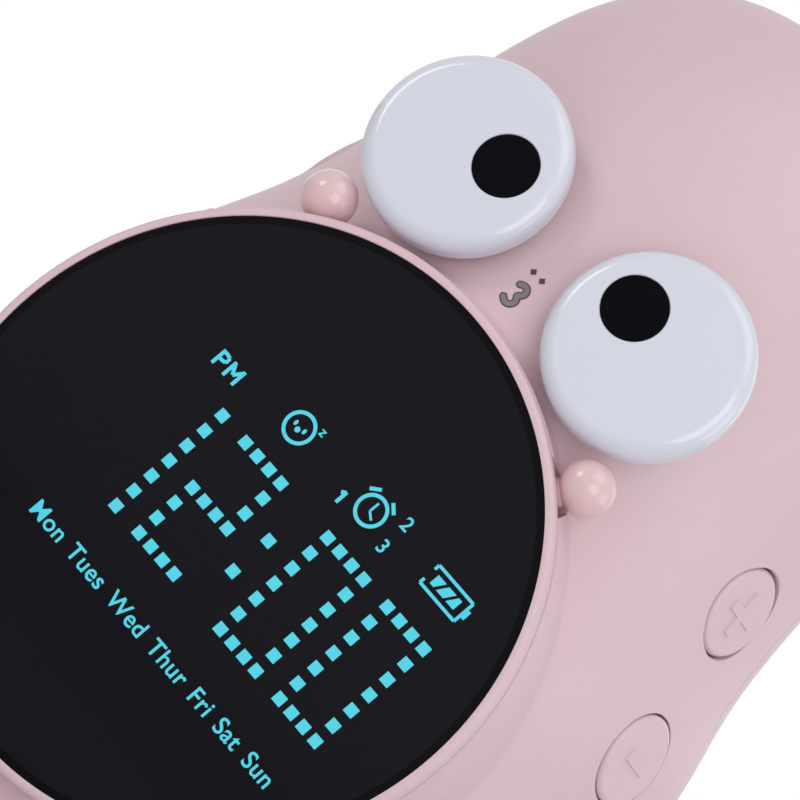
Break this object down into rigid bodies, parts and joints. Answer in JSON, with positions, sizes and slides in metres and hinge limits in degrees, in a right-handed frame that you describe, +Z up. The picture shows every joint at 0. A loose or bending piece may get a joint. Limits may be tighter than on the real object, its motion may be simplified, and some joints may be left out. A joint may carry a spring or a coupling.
{
  "type": "alarm clock",
  "caption": "Pear-shaped children's alarm clock with a round digital display drum, turning round eyes, ball hands and side push buttons.",
  "frame": {"origin": "middle of the bounding box's footprint, on the plane that the feet stand on", "axes": "+Z up; the display and eyes face -Y; +X is the viewer's right, the side of the plus and minus buttons"},
  "size_m": [0.1112, 0.1093, 0.166],
  "materials": {
    "case_plastic": "fine matte moulded ABS, pale pink",
    "button_plastic": "fine matte moulded ABS, pale pink",
    "hand_plastic": "polished moulded ABS, pale pink",
    "eye_plastic": "polished white",
    "pupil_plastic": "black",
    "lens_acrylic": "polished smoked black",
    "block_plastic": "white",
    "circuit_board": "green solder mask",
    "switch_plastic": "black",
    "foot_rubber": "pale grey pink silicone",
    "screw_steel": "zinc plated",
    "contact_metal": "nickel plated spring steel",
    "cell_sleeve": "plain blue sleeve",
    "socket_steel": "stamped",
    "speaker_metal": "dark grey",
    "speaker_paper": "black paper"
  },
  "bodies": {
    "case": {"front_shell": "case_plastic", "rear_shell": "case_plastic", "base_cover": "case_plastic", "case_screws": "screw_steel", "base_screws": "screw_steel", "display_screws": "screw_steel", "switch_board_screws": "screw_steel", "power_board_screws": "screw_steel", "rubber_feet": "foot_rubber", "display_rim": "case_plastic", "display_lens": "lens_acrylic", "light_block": "block_plastic", "display_board": "circuit_board", "left_hand": "hand_plastic", "right_hand": "hand_plastic", "right_switch_board": "circuit_board", "left_switch_board": "circuit_board", "right_switches": "switch_plastic", "left_switches": "switch_plastic", "battery_cradle": "switch_plastic", "battery_cell": "cell_sleeve", "battery_contacts": "contact_metal", "power_board": "circuit_board", "charging_socket": "socket_steel", "speaker": "speaker_metal", "speaker_cone": "speaker_paper"},
    "left_eye_turner": {"left_eye": "eye_plastic", "left_pupil": "pupil_plastic", "left_eye_washer": "contact_metal", "left_eye_screw": "screw_steel"},
    "right_eye_turner": {"right_eye": "eye_plastic", "right_pupil": "pupil_plastic", "right_eye_washer": "contact_metal", "right_eye_screw": "screw_steel"},
    "plus_key": {"plus_button": "button_plastic"},
    "minus_key": {"minus_button": "button_plastic"},
    "set_key": {"set_button": "button_plastic"},
    "alarm_key": {"alarm_button": "button_plastic"}
  },
  "joints": [
    {"name": "left_eye_turn", "type": "hinge", "parent": "case", "child": "left_eye_turner", "pos_m": [-0.0191, -0.04764, 0.1112], "axis": [-0.0435, -0.9952, 0.0872], "continuous": true},
    {"name": "right_eye_turn", "type": "hinge", "parent": "case", "child": "right_eye_turner", "pos_m": [0.0191, -0.04764, 0.1112], "axis": [0.0435, -0.9952, 0.0872], "continuous": true},
    {"name": "plus_press", "type": "slide", "parent": "case", "child": "plus_key", "axis": [-0.9373, 0.2991, -0.1789], "range_m": [0, 0.0007], "stiffness_N_per_m": 1500, "springref_m": -0.0003},
    {"name": "minus_press", "type": "slide", "parent": "case", "child": "minus_key", "axis": [-0.9318, 0.2974, -0.2082], "range_m": [0, 0.0007], "stiffness_N_per_m": 1500, "springref_m": -0.0003},
    {"name": "set_press", "type": "slide", "parent": "case", "child": "set_key", "axis": [0.9373, 0.2991, -0.1789], "range_m": [0, 0.0007], "stiffness_N_per_m": 1500, "springref_m": -0.0003},
    {"name": "alarm_press", "type": "slide", "parent": "case", "child": "alarm_key", "axis": [0.9318, 0.2974, -0.2082], "range_m": [0, 0.0007], "stiffness_N_per_m": 1500, "springref_m": -0.0003}
  ]
}
